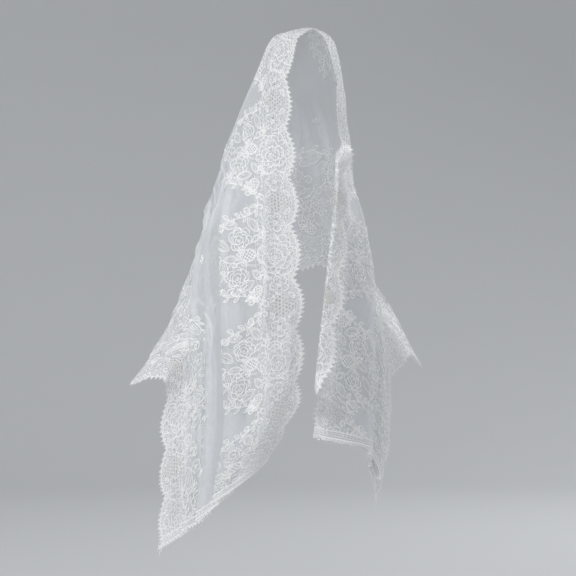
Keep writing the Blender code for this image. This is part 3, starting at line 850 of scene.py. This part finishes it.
    def lozenge(self, u, w, long, wide, turn):
        """A pointed lozenge with a second one inside it, joined by strokes."""
        corners = np.array([(0.5, 0), (0, 0.5), (-0.5, 0), (0, -0.5), (0.5, 0)]) * (long, wide)
        outer = spaced(turned(corners, turn) + (u, w), RIM_STEP)
        inner = (outer - (u, w)) * 0.62 + (u, w)
        self.line(outer, THREAD)
        self.line(inner, FINE)
        self.strokes(outer, inner, FINE)

    def beads(self, points, size):
        """A row of small rings along a curve."""
        for centre in spaced(curved(points), size * 2.15):
            self.ring(centre, size, FINE)

    def vine(self, points, leaf, every=3):
        """A double stem through a few points, with leaves to both sides in turn."""
        stem = curved(points, 3.2)
        side = sideways(stem)
        self.line(stem + side * 0.8, THREAD)
        self.line(stem - side * 0.8, FINE)
        for k in range(2, len(stem) - 1, every):
            hand = 1 if (k // every) % 2 else -1
            way = stem[k] - stem[k - 1]
            way /= np.linalg.norm(way)
            size = leaf * self.dice.uniform(0.8, 1.15)
            tip = stem[k] + (way * 0.75 + side[k] * hand * 0.8) * size
            self.leaf(stem[k], tip, size * 0.48, hand * 1.2)

    def brick(self, u, w, long, wide, turn):
        """A pointed patch of brick ground: straight courses joined by short uprights in turn."""
        courses = int(wide / COURSE)
        for k in range(-courses // 2, courses // 2 + 1):
            reach = long / 2 * (1 - (2 * k * COURSE / wide) ** 2)
            if reach <= 3:
                continue
            self.line(turned([(-reach, k * COURSE), (reach, k * COURSE)], turn) + (u, w), FINE)
            x = np.arange(-reach + (UPRIGHTS / 2 if k % 2 else 0), reach, UPRIGHTS)
            foot = np.stack([x, np.full(len(x), k * COURSE)], 1)
            self.strokes(turned(foot, turn) + (u, w), turned(foot + (0, COURSE), turn) + (u, w), FINE)
        t = np.linspace(0, 1, 16)
        bulge = wide * 0.53 * np.sqrt(np.maximum(1 - (2 * t - 1) ** 2, 0))
        for flip in (1, -1):
            rim = np.stack([(t - 0.5) * long * 1.06, flip * bulge], 1)
            self.line(turned(rim, turn) + (u, w), THREAD)


def edge_at(u, middle):
    """The scalloped outline's distance from the lash tips, in millimetres, with its small scallops."""
    run = middle / MILLIMETRE + u
    large = BIG_NOTCH / MILLIMETRE * (1 - np.abs(np.cos(pi * run / SCALLOP)))
    small = SMALL_NOTCH * (1 - np.abs(np.cos(pi * run / SCALLOP * SMALL_SCALLOPS)))
    return LASH / MILLIMETRE + large + small


def edge_work(lace):
    """The scalloped edge of one repeat: a thin cord, clothwork in strokes, and a row of rings inside it."""
    u = np.arange(-SCALLOP, SCALLOP + 0.1, 1.1)
    w = edge_at(u, lace.middle)
    lace.line(np.stack([u, w + 0.5], 1), THREAD, step=1.3)
    depth = 3.4 + 1.8 * np.sin(u * 0.9)
    lace.strokes(np.stack([u, w + 0.5], 1), np.stack([u, w + depth], 1), FINE)
    lace.cloth(np.stack([u, w + 2.6], 1), np.stack([u, w + 0.5], 1))
    inner = w - SMALL_NOTCH * 0.5 + 9.5
    lace.line(np.stack([u, inner], 1), FINE)
    for centre in spaced(np.stack([u, inner - 3.0], 1), 5.6)[:-1]:
        lace.ring(centre, 2.1, FINE)


def ground(lace, low, high, cell, width):
    """Uneven six-sided brides between two distances from the edge."""
    rise = cell * ROW_RISE
    rows = int((high - low) / rise) + 1
    columns = round(2 * SCALLOP / cell)
    jolt = cell * 0.24
    spots = {}
    for r in range(rows + 1):
        for c in range(columns + 1):
            u = -SCALLOP + (c + 0.5 * (r % 2)) * 2 * SCALLOP / columns + lace.dice.uniform(-jolt, jolt)
            spots[r, c] = (u, low + r * rise + lace.dice.uniform(-jolt, jolt))
    starts, ends = [], []
    for (r, c), spot in spots.items():
        for other in ((r, c + 1), (r + 1, c - 1 + r % 2), (r + 1, c + r % 2)):
            if other in spots and (r * 2 + c) % 3 != (other[0] * 2 + other[1]) % 3 + 1:
                starts.append(spot)
                ends.append(spots[other])
    lace.strokes(starts, ends, width)


def in_cluster(u, w):
    """Whether a place, from the middle of an open scallop, lies in its cluster of open meshes."""
    return np.abs(u) / CLUSTER_REACH + np.abs(w - CLUSTER_MIDDLE) / CLUSTER_REACH < 1


def repeat(lace):
    """One repeat of the lace border, two scallops long: a rose on one scallop, open meshes on the next."""
    edge_work(lace)
    ground(lace, 22, 76, 7.6, FINE)
    for motifs in (LOBE,) if lace.from_front else (LOBE, BAY):
        for kind, rows in motifs.items():
            for row in rows:
                getattr(lace, kind)(*row)
    for side in (-SCALLOP, SCALLOP):
        for row in range(-4, 5):
            for k in range(-5, 6):
                u = (k + 0.5 * (row % 2)) * CLUSTER_PITCH
                w = row * CLUSTER_PITCH * ROW_RISE
                if in_cluster(u, w + CLUSTER_MIDDLE):
                    lace.ring((side + u, CLUSTER_MIDDLE + w), CLUSTER_PITCH * 0.49)
        for off in (-HOLE_OFF, HOLE_OFF):
            for w in HOLE_PLACES:
                lace.ring((side + off, w), HOLE_RING)


def sprigs(lace):
    """Small sprigs that stand alone on the plain net."""
    for across, first in SPRIG_ROWS:
        for k in range(-10, 10):
            lace.middle = (first + k * SPRIG_PITCH) * MILLIMETRE
            lean = lace.dice.uniform(-0.5, 0.5)
            foot = np.array([0.0, across])
            for turn in (-0.9, 0.0, 0.9):
                lace.leaf(foot, foot + around(np.array(pi / 2 + lean + turn)) * 9, 4.5)
            lace.line([foot, foot - around(np.array(pi / 2 + lean)) * 7], FINE)


def net_piece(panel):
    """The net with the open meshes of the lace left out of it."""
    runs = np.linspace(LEFT_END, RIGHT_END, NET_ROWS)
    inset = LASH + np.array([notch(run) for run in runs])
    shares = np.linspace(0, 1, NET_COLUMNS)
    across = inset[:, None] + shares * (WIDTH - 2 * inset[:, None])
    grid = panel.place(np.repeat(runs[:, None], NET_COLUMNS, 1), across)
    index = np.arange(NET_ROWS * NET_COLUMNS).reshape(NET_ROWS, NET_COLUMNS)
    faces = np.stack([index[:-1, :-1], index[1:, :-1], index[1:, 1:], index[:-1, 1:]], -1).reshape(-1, 4)
    u = (runs[:-1] + runs[1:])[:, None] / 2 / MILLIMETRE
    w = (across[:-1, :-1] + across[1:, 1:]) / 2 / MILLIMETRE
    w = np.minimum(w, WIDTH / MILLIMETRE - w)
    off = u - 2 * SCALLOP * np.round(u / (2 * SCALLOP))
    open_mesh = in_cluster(off * 1.04, CLUSTER_MIDDLE + (w - CLUSTER_MIDDLE) * 1.04)
    for place in HOLE_PLACES:
        open_mesh |= np.hypot(np.abs(off) - HOLE_OFF, w - place) < HOLE_RADIUS
    faces = faces[~open_mesh.reshape(-1)]
    data = bpy.data.meshes.new("net")
    data.from_pydata(grid.reshape(-1, 3).tolist(), [], faces.tolist())
    gathered = np.zeros(across.shape)
    for crease in CREASES + SOFT_FOLDS:
        if crease[5] > 0:
            gathered = np.maximum(gathered, crease_strength(crease, runs[:, None], across, GATHERED_SPREAD))
    data.attributes.new("gathered", "FLOAT", "POINT").data.foreach_set("value", gathered.reshape(-1))
    layer = data.uv_layers.new(name="cloth")
    places = np.stack([np.repeat(runs[:, None], NET_COLUMNS, 1), across], -1).reshape(-1, 2)
    layer.data.foreach_set("uv", places[faces.reshape(-1)].reshape(-1))
    data.materials.append(net_material())
    data.shade_smooth()
    return add_object("net", data)


def long_edge_lashes(panel, from_front, name, finish, dice):
    """Eyelash threads along one long edge, which clump in small tufts, longest in the middle of each."""
    piece = Piece(name)
    run = LEFT_END + 0.001
    tuft, reach = LEFT_END, 0.0
    while run < RIGHT_END - 0.001:
        if run > tuft + reach:
            reach = dice.uniform(*TUFT_REACH)
            tuft = run + reach
        root = LASH + notch(run) + LASH_ROOT
        off = (tuft - run) / reach
        length = (LONG_LASH - LASH_TAPER * abs(off)) * dice.uniform(0.85, 1.0)
        lean = 0.7 * (tuft - run) + dice.uniform(-0.0006, 0.0006)
        half = dice.uniform(*LASH_HALF)
        t = np.array([0.0, 0.5, 1.0])
        inwards = root - t * length
        across = inwards if from_front else WIDTH - inwards
        spots = run + lean * t**2
        width = half * np.array([1.0, 0.8, 0.25])
        lift = LASH_LIFT + t * dice.uniform(-0.0006, 0.0012)
        left, right = (np.stack([spots + edge, across, lift], 1)[None] for edge in (-width, width))
        piece.add_bands(left, right)
        run += dice.uniform(*LASH_PITCH)
    return piece.build([finish], lambda points: panel.place(*points.T))


def end_trim(panel, end, inward, name, finish, dice):
    """The trim of a short end: two rows of thread with a zigzag in each, loops between them, and picots."""
    piece = Piece(name)

    def line(run, across, width):
        way_run, way_across = np.gradient(run), np.gradient(across)
        length = np.maximum(np.hypot(way_run, way_across), 1e-9)
        side_run, side_across = -way_across / length * width / 2, way_run / length * width / 2
        lifted = np.full(len(run), TRIM_LIFT)
        piece.add_bands(
            np.stack([run - side_run, across - side_across, lifted], 1)[None],
            np.stack([run + side_run, across + side_across, lifted], 1)[None],
        )

    across = np.arange(LASH, WIDTH - LASH, TRIM_STEP)
    for inset, width in TRIM_ROWS:
        uneven = np.array([dice.uniform(-0.0005, 0.0005) for _ in across])
        line(end + inward * (inset + uneven), across, width)
    zigzag = np.arange(len(across)) % 2
    line(end + inward * (0.0028 + 0.0036 * zigzag), across, 0.0009)
    line(end + inward * (0.0104 + 0.0034 * zigzag), across, 0.0009)
    angle = np.linspace(-0.3, pi + 0.3, 7)
    for foot in np.arange(LASH + 0.001, WIDTH - LASH, 0.0023):
        reach = dice.uniform(0.0015, 0.0060)
        tip = foot + np.array([0.0, dice.uniform(-0.001, 0.001)])
        line(end + inward * np.array([0.0015, 0.0015 - reach]), tip, 0.0006)
    for centre in np.arange(LASH + 0.003, WIDTH - LASH, TRIM_LOOP):
        depth = dice.uniform(0.0036, 0.0066)
        line(end + inward * (0.0024 - depth * np.sin(angle)), centre + 0.0024 * np.cos(angle), 0.0014)
        line(end + inward * (0.0068 + 0.0022 * np.sin(angle)), centre + 0.0022 * np.cos(angle), 0.0010)
        line(end + inward * (0.0142 + 0.0016 * np.sin(angle)), centre + 0.0026 * np.cos(angle), 0.0010)
    return piece.build([finish], lambda points: panel.place(*points.T))


def loose_threads(panel, finish):
    """A few ends of thread that hang from the lowest corner."""
    lines = bpy.data.curves.new("loose_threads", "CURVE")
    lines.dimensions = "3D"
    lines.bevel_depth = 0.0005
    lines.bevel_resolution = 1
    corner = panel.place(LEFT_END + 0.002, WIDTH - 0.006)
    for dx, dy, drop in THREAD_ENDS:
        spline = lines.splines.new("POLY")
        spline.points.add(4)
        for k in range(5):
            t = k / 4
            x, y, z = corner + np.array([dx * t + 0.002 * sin(3 * t), dy * t, 0.003 - drop * t])
            spline.points[k].co = (x, y, z, 1)
    lines.materials.append(finish)
    made = add_object("loose_threads", lines)
    return made


def plain_material(name, colour, roughness, alpha=1.0):
    """A smooth material of one colour."""
    made = bpy.data.materials.new(name)
    made.use_nodes = True
    shader = made.node_tree.nodes["Principled BSDF"]
    shader.inputs["Base Color"].default_value = (*colour, 1)
    shader.inputs["Roughness"].default_value = roughness
    shader.inputs["Alpha"].default_value = alpha
    return made


def mottle(made, place, scale, shade, white):
    """Gives a material two close whites in soft patches."""
    nodes, links = made.node_tree.nodes, made.node_tree.links
    patches = nodes.new("ShaderNodeTexNoise")
    patches.inputs["Scale"].default_value = scale
    links.new(place, patches.inputs["Vector"])
    whites = nodes.new("ShaderNodeValToRGB")
    for stop, colour in zip(whites.color_ramp.elements, (shade, white)):
        stop.color = (*colour, 1)
    links.new(patches.outputs["Fac"], whites.inputs["Fac"])
    links.new(whites.outputs["Color"], nodes["Principled BSDF"].inputs["Base Color"])


def raise_pattern(made, height, strength):
    """Gives a material a fine bump from a pattern."""
    nodes, links = made.node_tree.nodes, made.node_tree.links
    bump = nodes.new("ShaderNodeBump")
    bump.inputs["Strength"].default_value = strength
    bump.inputs["Distance"].default_value = RELIEF
    links.new(height, bump.inputs["Height"])
    links.new(bump.outputs["Normal"], nodes["Principled BSDF"].inputs["Normal"])


def thread_material(name, roughness, alpha=1.0):
    """Matte white thread: two close whites in soft patches, and the twist of the thread as a fine bump."""
    made = plain_material(name, THREAD_WHITE, roughness, alpha)
    nodes, links = made.node_tree.nodes, made.node_tree.links
    place = nodes.new("ShaderNodeTexCoord").outputs["Object"]
    mottle(made, place, THREAD_PATCHES, THREAD_SHADE, THREAD_WHITE)
    twist = nodes.new("ShaderNodeTexWave")
    twist.inputs["Scale"].default_value = TWIST
    links.new(place, twist.inputs["Vector"])
    raise_pattern(made, twist.outputs["Fac"], 0.25)
    return made


def net_material():
    """Fine net: thin crossing threads on a see-through ground, denser where it is gathered, in greys that
    are painted shade.
    """
    made = plain_material("net", NET_GREY_PAINTED_SHADE, 0.75, NET_ALPHA)
    nodes, links = made.node_tree.nodes, made.node_tree.links
    place = nodes.new("ShaderNodeUVMap")
    place.uv_map = "cloth"
    split = nodes.new("ShaderNodeSeparateXYZ")
    links.new(place.outputs["UV"], split.inputs["Vector"])

    def math(operation, first, second):
        node = nodes.new("ShaderNodeMath")
        node.operation = operation
        for socket, value in zip(node.inputs, (first, second)):
            if isinstance(value, float):
                socket.default_value = value
            else:
                links.new(value, socket)
        return node.outputs[0]

    waves = []
    for lean in (0.5, -0.5):
        over = math("MULTIPLY", split.outputs["Y"], lean * 1.732)
        phase = math("MULTIPLY", math("ADD", split.outputs["X"], over), 2 * pi / NET_PERIOD)
        waves.append(math("ABSOLUTE", math("SINE", phase, 0.0), 0.0))
    thread = math("MAXIMUM", waves[0], waves[1])
    dense = math("POWER", thread, 6.0)
    alpha = math("ADD", math("MULTIPLY", dense, NET_THREAD_ALPHA), NET_ALPHA)
    gathered = nodes.new("ShaderNodeAttribute")
    gathered.attribute_name = "gathered"
    alpha = math("ADD", alpha, math("MULTIPLY", gathered.outputs["Fac"], GATHERED_ALPHA))
    links.new(alpha, nodes["Principled BSDF"].inputs["Alpha"])
    # Soft random patches between two greys, both of them painted shade on the white net
    mottle(made, place.outputs["UV"], NET_PATCHES, NET_PATCH_GREY_PAINTED_SHADE, NET_GREY_PAINTED_SHADE)
    raise_pattern(made, dense, 0.3)
    return made


def soft_light(name, place, size, power):
    """A round lamp that faces the shawl."""
    lamp = bpy.data.lights.new(name, "AREA")
    lamp.shape = "DISK"
    lamp.size = size
    lamp.energy = power
    made = add_object(name, lamp)
    made.location = place
    made.rotation_euler = (Vector(LIGHT_AIM) - Vector(place)).to_track_quat("-Z", "Y").to_euler()


def studio():
    """A round pale floor that sweeps up into a wall all round, soft lights, and the camera."""
    profile = [(0.0, 0.0), (ROOM / 2, 0.0), (ROOM, 0.0)]
    bend = np.linspace(0, pi / 2, 13)[1:]
    profile += [(ROOM + SWEEP * sin(a), SWEEP * (1 - cos(a))) for a in bend]
    profile.append((ROOM + SWEEP, WALL_HEIGHT))
    turns = np.linspace(0, 2 * pi, ROOM_SIDES, endpoint=False)
    verts = [(r * cos(a), r * sin(a), FLOOR + z) for r, z in profile[1:] for a in turns]
    verts.append((0, 0, FLOOR))
    faces = [(k, (k + 1) % ROOM_SIDES, len(verts) - 1) for k in range(ROOM_SIDES)]
    for ring in range(len(profile) - 2):
        for k in range(ROOM_SIDES):
            low, high = ring * ROOM_SIDES, (ring + 1) * ROOM_SIDES
            after = (k + 1) % ROOM_SIDES
            faces.append((low + k, high + k, high + after, low + after))
    data = bpy.data.meshes.new("floor")
    data.from_pydata(verts, [], faces)
    data.materials.append(plain_material("paper", PAPER_COLOUR, 0.9))
    data.shade_smooth()
    add_object("floor", data)
    for light in LIGHTS:
        soft_light(*light)
    world = bpy.data.worlds.new("sky")
    world.use_nodes = True
    world.node_tree.nodes["Background"].inputs["Color"].default_value = SKY_COLOUR
    world.node_tree.nodes["Background"].inputs["Strength"].default_value = SKY
    bpy.context.scene.world = world
    bpy.context.scene.view_settings.view_transform = "Standard"
    camera = bpy.data.cameras.new("camera")
    camera.sensor_width = 36
    camera.lens = 36 * CAMERA_DISTANCE / FRAME_WIDTH
    made = add_object("camera", camera)
    made.location = (FRAME_CENTRE[0], -CAMERA_DISTANCE, FRAME_CENTRE[1])
    made.rotation_euler = (pi / 2, 0, 0)
    bpy.context.scene.camera = made


def main():
    """Makes every piece, attaches each to the root body, hides the parts of the solids that they stand for,
    and builds the studio.
    """
    panel = Panel()
    thread = thread_material("lace_thread", 0.6)
    clothwork = thread_material("clothwork", 0.7, CLOTHWORK_ALPHA)
    net = net_piece(panel)
    dice = random.Random(4)
    made = [net]
    for from_front, name in ((True, "front_border"), (False, "back_border")):
        lace = Lace(name, panel, from_front, dice)
        for k in range(-9, 10, 2):
            lace.middle = k * PITCH
            repeat(lace)
        if from_front:
            sprigs(lace)
        made += lace.build([thread, clothwork])
    front_lashes = long_edge_lashes(panel, True, "front_lashes", thread, dice)
    back_lashes = long_edge_lashes(panel, False, "back_lashes", thread, dice)
    left_trim = end_trim(panel, LEFT_END, 1, "left_trim", thread, dice)
    right_trim = end_trim(panel, RIGHT_END, -1, "right_trim", thread, dice)
    made += [front_lashes, back_lashes, left_trim, right_trim, loose_threads(panel, thread)]
    for piece in made:
        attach(piece, "root")
    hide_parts("left_stretch", "right_stretch", "hood_stretch")
    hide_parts("front_edge_lashes")
    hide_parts("back_edge_lashes")
    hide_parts("left_end_trim")
    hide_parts("right_end_trim")
    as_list(made[1:])
    studio()


main()
